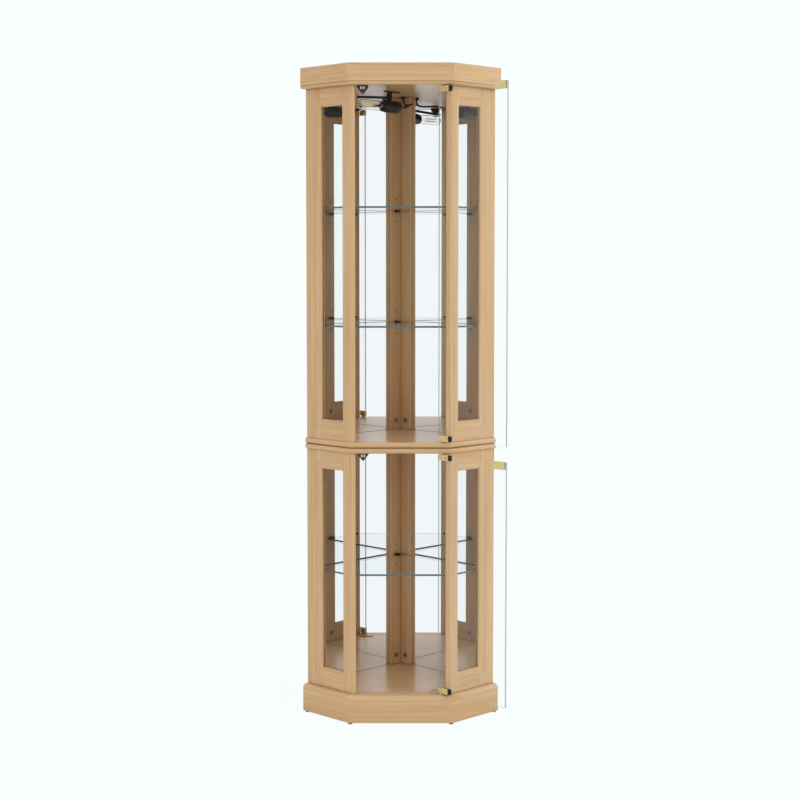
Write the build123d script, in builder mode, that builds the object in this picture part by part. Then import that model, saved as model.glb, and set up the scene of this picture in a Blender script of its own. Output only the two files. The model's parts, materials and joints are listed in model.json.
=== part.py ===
from build123d import *
import os
from math import acos, atan2, cos, pi, radians, sin, sqrt, tan

# Corner display cabinet: two stacked units with angled glazed sides, mirrored backs,
# glass shelves and one frameless glass door each.
# Millimetres. The origin is on the floor at the corner of the room that the cabinet stands in:
# +X to the right as seen from the front, +Y towards the corner, +Z up.
# The doors stand open, as they are shown.

# Heights, from the floor up
glide_height = 4.0
plinth_height = 76.0
lower_clear = 666.0
board_thick = 15.5
upper_clear = 965.5
crown_height = 57.5

# Plan: a square corner whose two side facets stand at 45 degrees to the front
outer_half_width = 262.4
front_half_width = 135.0

# Overhangs of the mouldings beyond the body
plinth_overhang = 18.0
board_overhang = 7.0
board_flat = 0.7
crown_overhang = 20.0

# Plinth moulding
plinth_wall = 18.0
plinth_ledge = 27.0
plinth_round = 11.0
plinth_rear_rail = 18.0
mitre_gap = 0.2

# Crown moulding
crown_thick = 15.0
crown_round = 6.0
crown_top_round = 2.5
crown_groove_height = 7.0
crown_groove_width = 2.2
crown_groove_depth = 1.6

# Side frames
frame_thick = 18.0
front_stile_width = 38.0
outer_stile_width = 57.0
top_rail_height = 51.5
bottom_rail_height = 55.0
moulding_width = 21.0
moulding_step = 0.8
moulding_depth = 5.5
moulding_facets = 4
stile_lip = 11.6

# Side panes and their beads
pane_thick = 4.0
pane_seat = 11.0
pane_rebate = 5.0
pane_gap = 0.6
bead_joint = 0.2
arris_round = 1.5

# Mirrored backs
mirror_thick = 3.0
backing_thick = 3.0
backing_recess = 4.1
back_lap = 9.0
back_gap = 0.5

# Corner post: an L that stands in front of the mirrors
post_proud = 12.0
post_face_half = 26.0
post_lap = 8.0

# Shelves, their clips and the drilled columns that the clips stand in
shelf_thick = 5.0
shelf_setback = 30.0
shelf_side_gap = 3.0
shelf_back_gap = 2.0
shelf_corner_round = 6.0
upper_shelf_rises = (311.0, 637.0)
lower_shelf_rises = (323.0,)
pin_hole_radius = 2.6
pin_radius = 2.5
pin_length = 8.0
pin_hole_depth = 9.0
pin_pitch = 32.0
clip_width = 11.0
clip_reach = 12.0
clip_wall = 3.2
clip_stop = 1.8
front_column_inset = 11.0
outer_column_inset = 41.17
post_column = 13.0

# Cam fittings in the feet and heads of the uprights
cam_radius = 7.5
cam_thick = 11.0
cam_rise = 27.0
cam_slot_width = 2.0
cam_slot_length = 9.0
cam_slot_depth = 1.6
cam_gap = 0.1

# Glass doors
door_glass = 5.0
door_open_angle = 135.5
door_hinge_gap = 2.1
door_free_gap = 1.5
door_end_gap = 5.0
hinge_inset = 9.7
pivot_setback = 3.5

# Clamp hinges
clamp_height = 15.5
clamp_cover = 1.3
clamp_mouth = 27.0
clamp_gap = 2.8
clamp_floor = 1.7
clamp_plate = 1.5
clamp_round = 2.5
liner_thick = 0.5
liner_nose = 9.0
liner_nose_inset = 0.4
pivot_radius = 2.5
pivot_length = 11.0
bush_radius = 4.5
bush_depth = 11.0
bush_flange_radius = 6.5
bush_flange_thick = 1.6
bush_clearance = 0.06
bush_end_gap = 0.3
pivot_plate_thick = 2.0
pivot_plate_front = 1.0
pivot_plate_back = 50.0
pivot_plate_inner = 28.6
pivot_plate_outer = 9.4
pivot_plate_chamfer = 2.5

# Strike clips on the free corners of the doors
strike_length = 40.0
strike_height = 20.0
strike_plate = 1.2
strike_inset = 4.0
strike_round = 3.0

# Touch latches
latch_inset = 20.4
latch_top_width = 30.0
latch_height = 21.0
latch_round = 4.0
latch_ear = 4.0
latch_setback = 13.5
latch_depth = 32.0
head_width = 12.0
head_height = 9.0
head_drop = 2.5
head_length = 26.0
head_setback = 7.5
head_travel = 4.5
head_chamfer = 1.0
slide_gap = 0.3

# Lamp
lamp_drop = 42.5
lamp_tip_left = 116.0
lamp_tip_back = 298.8
lamp_angle = 45.0
bulb_radius = 14.5
bulb_length = 92.0
bulb_shoulder = 16.0
bulb_facets = 4
bulb_neck_radius = 9.0
bulb_neck_length = 16.0
bulb_wall = 1.0
socket_radius = 17.0
socket_length = 64.0
socket_depth = 24.0
socket_step = 2.0
socket_collar = 10.0
socket_dome = 5.0
bracket_width = 9.0
bracket_thick = 3.0
bracket_leg = 12.0
bracket_foot = 46.0
arm_thick = 6.5
arm_tip_gap = 1.0
arm_root_gap = 4.0
lead_radius = 2.5
lead_sides = 8
lead_straight = 22.0
bend_share = 0.45
outlet_x = 8.0
outlet_back = 59.8
grommet_radius = 8.0
grommet_height = 6.0
grommet_bevel = 2.0

# Glides
glide_radius = 6.0

# Sides of the pins and their holes, of the cam fittings, and of the lamp's and the hinges' turned pieces
pin_sides = 10
cam_sides = 10
turned_sides = 16

# Levels and lines worked out from the sizes above
root2 = sqrt(2)
front_y = front_half_width - 2 * outer_half_width
facet_length = root2 * (outer_half_width - front_half_width)
door_half_opening = front_half_width - stile_lip
front_column = front_stile_width - front_column_inset
outer_column = facet_length - outer_column_inset
floor_z = glide_height + plinth_height
lower_ceiling_z = floor_z + lower_clear
join_z = lower_ceiling_z + board_thick
upper_floor_z = join_z + board_thick
ceiling_z = upper_floor_z + upper_clear
top_z = ceiling_z + crown_height
units = {"lower": (floor_z, lower_ceiling_z), "upper": (upper_floor_z, ceiling_z)}
shelf_rises = {"lower": lower_shelf_rises, "upper": upper_shelf_rises}

mirror_face = backing_recess + backing_thick + mirror_thick
post_face = mirror_face + post_proud
opening_end = facet_length - outer_stile_width
facet_plane = Plane(
    origin=(front_half_width, front_y, 0), x_dir=(1, 1, 0), z_dir=(1, -1, 0)
)
wall_plane = Plane(
    origin=(outer_half_width, -outer_half_width, 0), x_dir=(-1, 1, 0), z_dir=(1, 1, 0)
)

pivot_x = door_half_opening - door_hinge_gap - hinge_inset
pivot_y = front_y + pivot_setback
door_width = 2 * door_half_opening - door_hinge_gap - door_free_gap
door_free_end = door_width - hinge_inset
door_angle = radians(180 + door_open_angle)
door_direction = (cos(door_angle), sin(door_angle), 0)
door_plane = Plane(
    origin=(pivot_x, pivot_y, 0),
    x_dir=door_direction,
    z_dir=(door_direction[1], -door_direction[0], 0),
)
clamp_half = door_glass / 2 + liner_thick + clamp_plate
clamp_end = hinge_inset + clamp_cover
latch_x = latch_inset - door_half_opening


def facet_point(along, inward):
    """A point of the right-hand facet, in plan"""
    return (
        front_half_width + (along - inward) / root2,
        front_y + (along + inward) / root2,
    )


def wall_point(along, inward):
    """A point beside the right-hand back plane, in plan, from the outer corner towards the back"""
    return (
        outer_half_width - (along + inward) / root2,
        -outer_half_width + (along - inward) / root2,
    )


def plan_outline(front, side, back):
    """The five corners of the plan with its edges moved inwards by these distances"""
    facet = 2 * outer_half_width - root2 * side
    rear = root2 * back
    near_y = front_y + front
    near_x = facet + near_y
    far_x = (facet - rear) / 2
    far_y = -(facet + rear) / 2
    return [(-near_x, near_y), (near_x, near_y), (far_x, far_y), (0, -rear), (-far_x, far_y)]


def prism(points, low, high, mode=Mode.ADD):
    """Extrude an outline in plan between two levels"""
    with BuildSketch(Plane.XY.offset(low)) as outline:
        with BuildLine():
            Polyline(*points, close=True)
        make_face()
    extrude(outline.sketch, amount=high - low, mode=mode)


def slab(plane, depth, thick, left, right, low, high, mode=Mode.ADD):
    """A plate behind a plane, set back by depth, between two places across and two levels"""
    with BuildSketch(plane.offset(-depth)) as outline:
        with Locations(((left + right) / 2, (low + high) / 2)):
            Rectangle(right - left, high - low)
    extrude(outline.sketch, amount=-thick, mode=mode)


def save(piece, name):
    """Label a finished piece and write it"""
    piece.part.label = name
    export_step(piece.part, f"parts/{name}.step")


def save_pair(piece, name):
    """Write a right-hand piece, and its mirror image on the left"""
    save(piece, f"{name}_right")
    with BuildPart() as twin:
        mirror(piece.part, about=Plane.YZ)
    save(twin, f"{name}_left")


os.makedirs("parts", exist_ok=True)


# Boards

def bush_seat(level, upwards):
    """The blind hole of a door's pivot bush in a board"""
    with BuildSketch(Plane.XY.offset(level)) as seat:
        with Locations((pivot_x, pivot_y)):
            RegularPolygon(bush_radius, turned_sides)
    extrude(seat.sketch, amount=upwards * bush_depth, mode=Mode.SUBTRACT)


def moulded_board(low, seat_level, upwards):
    """A board between the units, rounded along its front and side edges"""
    with BuildPart() as board:
        prism(plan_outline(-board_overhang, -board_overhang, 0), low, low + board_thick)
        level = board.edges().filter_by(Axis.Z, reverse=True)
        free = level.filter_by(
            lambda edge: edge.center().Y + abs(edge.center().X) < -board_overhang
        )
        fillet(free, (board_thick - board_flat) / 2)
        bush_seat(seat_level, upwards)
    return board


save(moulded_board(lower_ceiling_z, lower_ceiling_z, 1), "lower_top")
save(moulded_board(join_z, upper_floor_z, -1), "upper_floor")

with BuildPart() as lower_floor:
    prism(plan_outline(plinth_ledge, plinth_ledge, 0), floor_z - board_thick, floor_z)
save(lower_floor, "lower_floor")

crown_inner = crown_thick - crown_overhang
with BuildPart() as ceiling:
    prism(plan_outline(crown_inner, crown_inner, 0), ceiling_z, ceiling_z + board_thick)
    bush_seat(ceiling_z, 1)
save(ceiling, "ceiling")


# Mouldings of the plinth and the crown, mitred where the facets meet the front

def mitre_point(inward):
    """Where the front and a facet meet once both are moved inwards"""
    return (front_half_width - (root2 - 1) * inward, front_y + inward)


def facet_end(inward):
    """Where a moved facet meets the back plane"""
    half = outer_half_width - inward / root2
    return (half, -half)


def mouldings(draw_profile, name, seat_level=None):
    """A front moulding, which may seat a door's bush, and one on each facet, from one profile"""
    reach = outer_half_width - front_half_width
    front_run = Plane(origin=(0, front_y, 0), x_dir=(0, 1, 0), z_dir=(1, 0, 0))
    facet_run = Plane(origin=(front_half_width, front_y, 0), x_dir=(-1, 1, 0), z_dir=(1, 1, 0))
    near_x, near_y = mitre_point(-reach)
    far_x, far_y = mitre_point(reach)
    with BuildPart() as front:
        with BuildSketch(front_run) as profile:
            draw_profile()
        extrude(profile.sketch, amount=front_half_width + reach, both=True)
        trim = [(-near_x, near_y), (near_x, near_y), (far_x, far_y), (-far_x, far_y)]
        prism(trim, 0, top_z, mode=Mode.INTERSECT)
        if seat_level is not None:
            bush_seat(seat_level, -1)
    save(front, f"{name}_front")
    with BuildPart() as side:
        with BuildSketch(facet_run) as profile:
            draw_profile()
        extrude(profile.sketch, amount=facet_length + reach, both=True)
        trim = [mitre_point(-reach), facet_end(-reach), facet_end(reach), mitre_point(reach)]
        prism(trim, 0, top_z, mode=Mode.INTERSECT)
    save_pair(side, name)


def plinth_profile():
    """A wall with a rounded shoulder and a ledge that the side frames stand on"""
    outer = -plinth_overhang
    inner = plinth_wall - plinth_overhang
    ledge_z = floor_z - board_thick
    with BuildLine() as path:
        Polyline(
            (outer + plinth_round, floor_z),
            (plinth_ledge, floor_z),
            (plinth_ledge, ledge_z),
            (inner, ledge_z),
            (inner, glide_height),
            (outer, glide_height),
            (outer, floor_z - plinth_round),
        )
        RadiusArc(
            (outer, floor_z - plinth_round), (outer + plinth_round, floor_z), plinth_round
        )
    make_face(path.edges())


def crown_profile():
    """A plain face with a groove above its rounded lower edge"""
    outer = -crown_overhang
    groove_z = ceiling_z + crown_groove_height
    with BuildLine() as path:
        Polyline(
            (outer + crown_top_round, top_z),
            (crown_inner, top_z),
            (crown_inner, ceiling_z),
            (outer + crown_round, ceiling_z),
        )
        RadiusArc((outer + crown_round, ceiling_z), (outer, ceiling_z + crown_round), crown_round)
        Polyline(
            (outer, ceiling_z + crown_round),
            (outer, groove_z),
            (outer + crown_groove_depth, groove_z + crown_groove_width / 2),
            (outer, groove_z + crown_groove_width),
            (outer, top_z - crown_top_round),
        )
        RadiusArc(
            (outer, top_z - crown_top_round), (outer + crown_top_round, top_z), crown_top_round
        )
    make_face(path.edges())


mouldings(plinth_profile, "plinth", floor_z)
mouldings(crown_profile, "crown")

rail_start = plinth_wall - plinth_overhang
rail_outline = [
    wall_point(rail_start, 0),
    (0, 0),
    (0, -root2 * plinth_rear_rail),
    wall_point(rail_start, plinth_rear_rail),
]
with BuildPart() as plinth_rear:
    prism(rail_outline, glide_height, floor_z - board_thick)
    split(bisect_by=Plane.YZ.offset(mitre_gap / 2))
    mirror(about=Plane.YZ)
save(plinth_rear, "plinth_rear")


# Side frames: two stiles and two rails around a moulded opening

def opening_levels(unit):
    """The lower and upper edges of a side frame's opening"""
    low, high = units[unit]
    return low + bottom_rail_height, high - top_rail_height


def cut_opening(unit):
    """Cut the opening, the rounded moulding around it and the pane's rebate behind it"""
    low, high = opening_levels(unit)
    left, right = front_stile_width, opening_end
    middle = ((left + right) / 2, (low + high) / 2)
    slab(facet_plane, 0, moulding_step, left - moulding_width, right + moulding_width,
         low - moulding_width, high + moulding_width, Mode.SUBTRACT)
    sections = []
    for step in range(moulding_facets + 1):
        turn = step / moulding_facets * pi / 2
        margin = moulding_width * (1 - sin(turn))
        depth = moulding_step + (moulding_depth - moulding_step) * (1 - cos(turn))
        with BuildSketch(facet_plane.offset(-depth)) as section:
            with Locations(middle):
                Rectangle(right - left + 2 * margin, high - low + 2 * margin)
        sections.append(section.sketch)
    loft(sections, ruled=True, mode=Mode.SUBTRACT)
    slab(facet_plane, moulding_depth, frame_thick - moulding_depth, left, right, low, high,
         Mode.SUBTRACT)
    slab(facet_plane, pane_seat, frame_thick - pane_seat, left - pane_rebate,
         right + pane_rebate, low - pane_rebate, high + pane_rebate, Mode.SUBTRACT)


# Faces that carry clips and cam fittings: x across, y up, z into the room
frame_rear = Plane(
    origin=(*facet_point(0, frame_thick), 0), x_dir=(-1, -1, 0), z_dir=(-1, 1, 0)
)
post_left = Plane(origin=(0, -root2 * post_face, 0), x_dir=(1, 1, 0), z_dir=(1, -1, 0))
front_place = (frame_rear, -front_column)
outer_place = (frame_rear, -outer_column)
post_place = (post_left, -root2 * post_column)


def pin_levels(unit):
    """The level of each clip's pin"""
    return [units[unit][0] + rise + shelf_thick / 2 for rise in shelf_rises[unit]]


def cam_levels(unit):
    """The levels of the cam fittings at the feet and the heads of the uprights"""
    low, high = units[unit]
    return [low + cam_rise, high - cam_rise]


def bore(place, levels, radius, depth, sides):
    """Drill blind holes into a face at these levels"""
    plane, across = place
    with BuildSketch(plane) as holes:
        with Locations(*[(across, level) for level in levels]):
            RegularPolygon(radius, sides)
    extrude(holes.sketch, amount=-depth, mode=Mode.SUBTRACT)


def drill_pins(place, unit):
    """Three pin holes for each shelf: the one in use, one above it and one below"""
    for level in pin_levels(unit):
        rows = [level - pin_pitch, level, level + pin_pitch]
        bore(place, rows, pin_hole_radius, pin_hole_depth, pin_sides)


def drill_cams(place, unit):
    """Sockets of the cam fittings"""
    bore(place, cam_levels(unit), cam_radius + cam_gap, cam_thick, cam_sides)


for unit, (low, high) in units.items():
    rear_y = door_half_opening - 2 * outer_half_width + root2 * frame_thick
    stile_outline = [
        (front_half_width, front_y),
        (door_half_opening, front_y),
        (door_half_opening, rear_y),
        facet_point(front_stile_width, frame_thick),
        facet_point(front_stile_width, 0),
    ]
    with BuildPart() as front_stile:
        prism(stile_outline, low, high)
        arris = front_stile.edges().filter_by(Axis.Z).sort_by(Axis.Y)[:2]
        fillet(arris, arris_round)
        cut_opening(unit)
        drill_pins(front_place, unit)
        drill_cams(front_place, unit)
    save_pair(front_stile, f"{unit}_front_stile")

    with BuildPart() as outer_stile:
        slab(facet_plane, 0, frame_thick, opening_end, facet_length, low, high)
        slab(facet_plane, back_lap, frame_thick - back_lap, facet_length - mirror_face,
             facet_length, low, high, Mode.SUBTRACT)
        cut_opening(unit)
        drill_pins(outer_place, unit)
        drill_cams(outer_place, unit)
    save_pair(outer_stile, f"{unit}_outer_stile")

    opening_low, opening_high = opening_levels(unit)
    with BuildPart() as rails:
        slab(facet_plane, 0, frame_thick, front_stile_width, opening_end, low, opening_low)
        slab(facet_plane, 0, frame_thick, front_stile_width, opening_end, opening_high, high)
        cut_opening(unit)
    save_pair(rails, f"{unit}_rails")

    play = pane_rebate - pane_gap
    with BuildPart() as side_pane:
        slab(facet_plane, pane_seat, pane_thick, front_stile_width - play, opening_end + play,
             opening_low - play, opening_high + play)
    save_pair(side_pane, f"{unit}_side_pane")

with BuildPart() as pane_beads:
    bead_depth = pane_seat + pane_thick
    bead_thick = frame_thick - bead_depth
    for unit in units:
        opening_low, opening_high = opening_levels(unit)
        bottom = opening_low - pane_rebate
        top = opening_high + pane_rebate
        for left in (front_stile_width - pane_rebate, opening_end):
            slab(facet_plane, bead_depth, bead_thick, left, left + pane_rebate, bottom, top)
        for level in (bottom, opening_high):
            slab(facet_plane, bead_depth, bead_thick, front_stile_width + bead_joint,
                 opening_end - bead_joint, level, level + pane_rebate)
    mirror(about=Plane.YZ)
save(pane_beads, "pane_beads")


# Corner posts and the mirrored backs between them and the outer stiles

arris_along = root2 * (outer_half_width - post_face_half) - post_face
lap_along = arris_along + post_lap
post_half = [
    wall_point(lap_along, 0),
    wall_point(lap_along, mirror_face),
    wall_point(arris_along, mirror_face),
    wall_point(arris_along, post_face),
]
post_outline = [(0, 0), *post_half, (0, -root2 * post_face)]
post_outline += [(-x, y) for x, y in reversed(post_half)]

for unit, (low, high) in units.items():
    with BuildPart() as corner_post:
        prism(post_outline, low, high)
        drill_pins(post_place, unit)
        drill_cams(post_place, unit)
        mirror_place = (Plane(
            origin=post_left.origin, x_dir=(1, -1, 0), z_dir=(-1, -1, 0)
        ), root2 * post_column)
        drill_cams(mirror_place, unit)
    save(corner_post, f"{unit}_corner_post")

    across = (back_lap + back_gap, lap_along - back_gap)
    with BuildPart() as back_mirror:
        slab(wall_plane, backing_recess + backing_thick, mirror_thick, *across, low,
             high - back_gap)
    save_pair(back_mirror, f"{unit}_mirror")

    with BuildPart() as back_panels:
        slab(wall_plane, backing_recess, backing_thick, *across, low, high - back_gap)
        mirror(about=Plane.YZ)
    save(back_panels, f"{unit}_back_panels")


# Shelves on clips

def shelf(level):
    """A five-sided glass shelf with rounded corners"""
    outline = plan_outline(
        shelf_setback, frame_thick + shelf_side_gap, post_face + shelf_back_gap
    )
    with BuildPart() as pane:
        prism(outline, level, level + shelf_thick)
        fillet(pane.edges().filter_by(Axis.Z), shelf_corner_round)
    return pane


def shelf_clip(place, level):
    """A clip with a slot for the shelf's edge and a pin behind it"""
    plane, across = place
    height = shelf_thick + 2 * clip_wall
    with BuildSketch(plane) as body:
        with Locations((across, level)):
            Rectangle(clip_width, height)
        chamfer(body.vertices(), clip_wall / 3)
    extrude(body.sketch, amount=clip_reach)
    with BuildSketch(plane.offset(clip_stop)) as slot:
        with Locations((across, level)):
            Rectangle(clip_width, shelf_thick)
    extrude(slot.sketch, amount=clip_reach, mode=Mode.SUBTRACT)
    with BuildSketch(plane) as pin:
        with Locations((across, level)):
            RegularPolygon(pin_radius, pin_sides)
    extrude(pin.sketch, amount=-pin_length)


for unit, rises in shelf_rises.items():
    for number, rise in enumerate(rises, 1):
        save(shelf(units[unit][0] + rise), f"{unit}_shelf_{number}")

with BuildPart() as shelf_clips:
    for unit in units:
        for level in pin_levels(unit):
            shelf_clip(front_place, level)
            shelf_clip(outer_place, level)
    mirror(about=Plane.YZ)
    for unit in units:
        for level in pin_levels(unit):
            shelf_clip(post_place, level)
save(shelf_clips, "shelf_clips")


# Cam fittings

def cam(place, level):
    """A cam fitting with a cross slot in its face"""
    plane, across = place
    with BuildSketch(plane) as disc:
        with Locations((across, level)):
            RegularPolygon(cam_radius, cam_sides)
    extrude(disc.sketch, amount=-cam_thick)
    with BuildSketch(plane) as slot:
        with Locations((across, level)):
            Rectangle(cam_slot_length, cam_slot_width)
            Rectangle(cam_slot_width, cam_slot_length)
    extrude(slot.sketch, amount=-cam_slot_depth, mode=Mode.SUBTRACT)


with BuildPart() as cam_fittings:
    for unit in units:
        for level in cam_levels(unit):
            for place in (front_place, outer_place, post_place):
                cam(place, level)
    mirror(about=Plane.YZ)
save(cam_fittings, "cam_fittings")


# Glass doors, built along their own plane: x from the pivot to the free edge, y up

def door_block(left, right, low, high, half, mode=Mode.ADD):
    """A block centred on the thickness of the door's glass"""
    with BuildSketch(door_plane) as face:
        with Locations(((left + right) / 2, (low + high) / 2)):
            Rectangle(right - left, abs(high - low))
    extrude(face.sketch, amount=half, both=True, mode=mode)


def cut_glass(low, high):
    """Cut away the space that the door's glass takes"""
    door_block(-hinge_inset, door_free_end, low, high, door_glass / 2, Mode.SUBTRACT)


def door_levels(unit):
    """The lower and upper edges of a door's glass"""
    low, high = units[unit]
    return low + door_end_gap, high - door_end_gap


def clamp(board, up):
    """A channel that grips the glass's corner, with its pivot pin towards the board"""
    outer = board + up * clamp_gap
    inner = outer + up * clamp_height
    with BuildPart() as piece:
        door_block(-clamp_end, clamp_mouth, outer, inner, clamp_half)
        upright = piece.edges().filter_by(Axis.Z)
        fillet(upright.sort_by_distance((pivot_x, pivot_y, inner))[:2], clamp_round)
        door_block(-clamp_end, clamp_mouth, outer + up * clamp_floor, inner,
                   door_glass / 2 + liner_thick, Mode.SUBTRACT)
        with BuildSketch(Plane.XY.offset(outer)) as pin:
            with Locations((pivot_x, pivot_y)):
                Circle(pivot_radius)
        extrude(pin.sketch, amount=-up * pivot_length)
    return piece


def liner(board, up):
    """The soft channel between a clamp and the glass, with a nose that shows at its mouth"""
    outer = board + up * clamp_gap
    inner = outer + up * clamp_height
    door_block(-hinge_inset, clamp_mouth, outer + up * clamp_floor, inner,
               door_glass / 2 + liner_thick)
    door_block(clamp_mouth, clamp_mouth + liner_nose, outer + up * liner_nose_inset,
               inner - up * liner_nose_inset, clamp_half - liner_nose_inset)


for unit, (low, high) in units.items():
    glass_low, glass_high = door_levels(unit)
    with BuildPart() as door_pane:
        door_block(-hinge_inset, door_free_end, glass_low, glass_high, door_glass / 2)
    save(door_pane, f"{unit}_door_glass")

    lower_clamp = clamp(low, 1)
    upper_clamp = clamp(high, -1)
    with BuildPart() as clamps:
        add(lower_clamp.part)
        add(upper_clamp.part)
    save(clamps, f"{unit}_door_clamps")

    with BuildPart() as liners:
        liner(low, 1)
        liner(high, -1)
        cut_glass(glass_low, glass_high)
    save(liners, f"{unit}_door_liners")

    with BuildPart() as strike:
        strike_right = door_free_end - strike_inset
        door_block(strike_right - strike_length, strike_right, glass_high - strike_height,
                   glass_high + strike_plate, door_glass / 2 + strike_plate)
        through = strike.edges().filter_by(Axis(door_plane.origin, door_plane.z_dir))
        fillet(through.sort_by(Axis.Z)[:2], strike_round)
        cut_glass(glass_low, glass_high)
    save(strike, f"{unit}_door_strike")

with BuildPart() as pivot_bushes:
    for low, high in units.values():
        for board, up in ((low, 1), (high, -1)):
            for radius, length in (
                (bush_radius, -bush_depth),
                (bush_flange_radius, bush_flange_thick),
            ):
                with BuildSketch(Plane.XY.offset(board)) as ring:
                    with Locations((pivot_x, pivot_y)):
                        RegularPolygon(radius, turned_sides)
                extrude(ring.sketch, amount=up * length)
            pin_end = board + up * (clamp_gap - pivot_length - bush_end_gap)
            with BuildSketch(Plane.XY.offset(pin_end)) as bearing:
                with Locations((pivot_x, pivot_y)):
                    RegularPolygon(pivot_radius + bush_clearance, pin_sides, major_radius=False)
            extrude(bearing.sketch, amount=up * pivot_length, mode=Mode.SUBTRACT)
save(pivot_bushes, "pivot_bushes")

with BuildPart() as pivot_plate:
    plate_left = pivot_x - pivot_plate_inner
    plate_right = pivot_x + pivot_plate_outer
    with BuildSketch(Plane.XY.offset(floor_z)) as outline:
        with BuildLine():
            Polyline(
                (plate_left, front_y + pivot_plate_front),
                (plate_right, front_y + pivot_plate_front),
                (plate_right, front_y + pivot_plate_back),
                (plate_left, front_y + pivot_plate_back),
                close=True,
            )
        make_face()
        chamfer(outline.vertices(), pivot_plate_chamfer)
        with Locations((pivot_x, pivot_y)):
            RegularPolygon(bush_flange_radius + slide_gap, turned_sides, mode=Mode.SUBTRACT)
    extrude(outline.sketch, amount=pivot_plate_thick)
save(pivot_plate, "pivot_plate")


# Touch latches under the ceilings, met by the strikes of the closed doors

def latch_front(setback):
    """An upright plane across the latch, facing the door"""
    return Plane(origin=(latch_x, front_y + setback, 0), x_dir=(1, 0, 0), z_dir=(0, -1, 0))


# The flanks of the latch's V run on from the round at its tip
latch_rise = latch_height - latch_round - latch_ear
latch_reach = sqrt((latch_top_width / 2) ** 2 + latch_rise**2)
latch_flank = acos(latch_round / latch_reach) - atan2(latch_rise, latch_top_width / 2)
head_depth = head_setback + head_length + head_travel + slide_gap
with BuildPart() as latch_housings:
    for low, high in units.values():
        low_tip = (0, high - latch_height)
        round_z = high - latch_height + latch_round
        right_end = (latch_round * cos(latch_flank), round_z - latch_round * sin(latch_flank))
        left_end = (-right_end[0], right_end[1])
        with BuildSketch(latch_front(latch_setback)) as outline:
            with BuildLine():
                Polyline(
                    left_end,
                    (-latch_top_width / 2, high - latch_ear),
                    (-latch_top_width / 2, high),
                    (latch_top_width / 2, high),
                    (latch_top_width / 2, high - latch_ear),
                    right_end,
                )
                ThreePointArc(right_end, low_tip, left_end)
            make_face()
        extrude(outline.sketch, amount=-latch_depth)
        with BuildSketch(latch_front(latch_setback)) as guide:
            with Locations((0, high - head_drop - head_height / 2)):
                Rectangle(head_width + 2 * slide_gap, head_height + 2 * slide_gap)
        extrude(guide.sketch, amount=latch_setback - head_depth, mode=Mode.SUBTRACT)
save(latch_housings, "latch_housings")

for unit, (low, high) in units.items():
    with BuildPart() as latch_head:
        with BuildSketch(latch_front(head_setback)) as outline:
            with Locations((0, high - head_drop - head_height / 2)):
                Rectangle(head_width, head_height)
            chamfer(outline.vertices(), head_chamfer)
        extrude(outline.sketch, amount=-head_length)
    save(latch_head, f"{unit}_latch_head")


# Lamp under the upper ceiling: x along its axis from the tip of the bulb, y up

lamp_plane = Plane(
    origin=(-lamp_tip_left, -lamp_tip_back, ceiling_z - lamp_drop),
    x_dir=(cos(radians(lamp_angle)), sin(radians(lamp_angle)), 0),
    z_dir=(sin(radians(lamp_angle)), -cos(radians(lamp_angle)), 0),
)
lamp_across = Plane(origin=lamp_plane.origin, x_dir=(0, 0, 1), z_dir=lamp_plane.x_dir)
socket_end = bulb_length + socket_length
socket_flat = socket_radius * cos(pi / turned_sides)


def turned(plane, stations, mode=Mode.ADD):
    """A body with flat sides round a plane's z axis, through stations of place along it and radius"""
    turns = [2 * pi * (side + 0.5) / turned_sides for side in range(turned_sides)]
    rings = []
    for along, radius in stations:
        corners = [Vector(radius * cos(turn), radius * sin(turn), along) for turn in turns]
        rings.append([plane.from_local_coords(corner) for corner in corners])
    faces = [Face(Wire.make_polygon(ring)) for ring in (rings[0], rings[-1])]
    for near, far in zip(rings, rings[1:]):
        for side in range(turned_sides):
            flat = [near[side - 1], near[side], far[side], far[side - 1]]
            faces.append(Face(Wire.make_polygon(flat)))
    add(Solid(Shell(faces)), mode=mode)


def bulb_stations(inset):
    """The bulb's dome, shoulder and neck, moved inwards by inset"""
    radius = bulb_radius - inset
    neck = bulb_neck_radius - inset
    turns = [pi * (step + 0.5) / (2 * bulb_facets + 1) for step in range(bulb_facets + 1)]
    dome = [(bulb_radius - radius * cos(turn), radius * sin(turn)) for turn in turns]
    shoulder = [(bulb_length - bulb_shoulder, radius), (bulb_length, neck)]
    return dome + shoulder + [(bulb_length + bulb_neck_length, neck)]


with BuildPart() as lamp_bulb:
    turned(lamp_across, bulb_stations(0))
    turned(lamp_across, bulb_stations(bulb_wall), Mode.SUBTRACT)
save(lamp_bulb, "lamp_bulb")

with BuildPart() as lamp_socket:
    collar_end = bulb_length + socket_collar
    turned(lamp_across, [
        (bulb_length, socket_radius - socket_step),
        (collar_end, socket_radius - socket_step),
        (collar_end + socket_step, socket_radius),
        (socket_end - socket_dome, socket_radius),
        (socket_end, socket_radius - socket_dome),
    ])
    mouth = bulb_neck_radius + slide_gap
    turned(lamp_across, [(bulb_length, mouth), (bulb_length + socket_depth, mouth)], Mode.SUBTRACT)
save(lamp_socket, "lamp_socket")

with BuildPart() as lamp_bracket:
    leg = bulb_length + socket_collar + bracket_leg
    arm_tip = bulb_radius + arm_tip_gap
    arm_root = socket_radius + arm_root_gap
    under = lamp_drop - bracket_thick
    with BuildSketch(lamp_plane) as outline:
        with BuildLine():
            Polyline(
                (0, arm_tip),
                (leg, arm_root),
                (leg, socket_flat),
                (leg + bracket_leg, socket_flat),
                (leg + bracket_leg, under),
                (leg + bracket_foot, under),
                (leg + bracket_foot, lamp_drop),
                (leg - bracket_leg, lamp_drop),
                (leg - bracket_leg, under),
                (leg, under),
                (leg, arm_root + arm_thick),
                (0, arm_tip + arm_thick),
                close=True,
            )
        make_face()
    extrude(outline.sketch, amount=bracket_width / 2, both=True)
save(lamp_bracket, "lamp_bracket")

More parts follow.
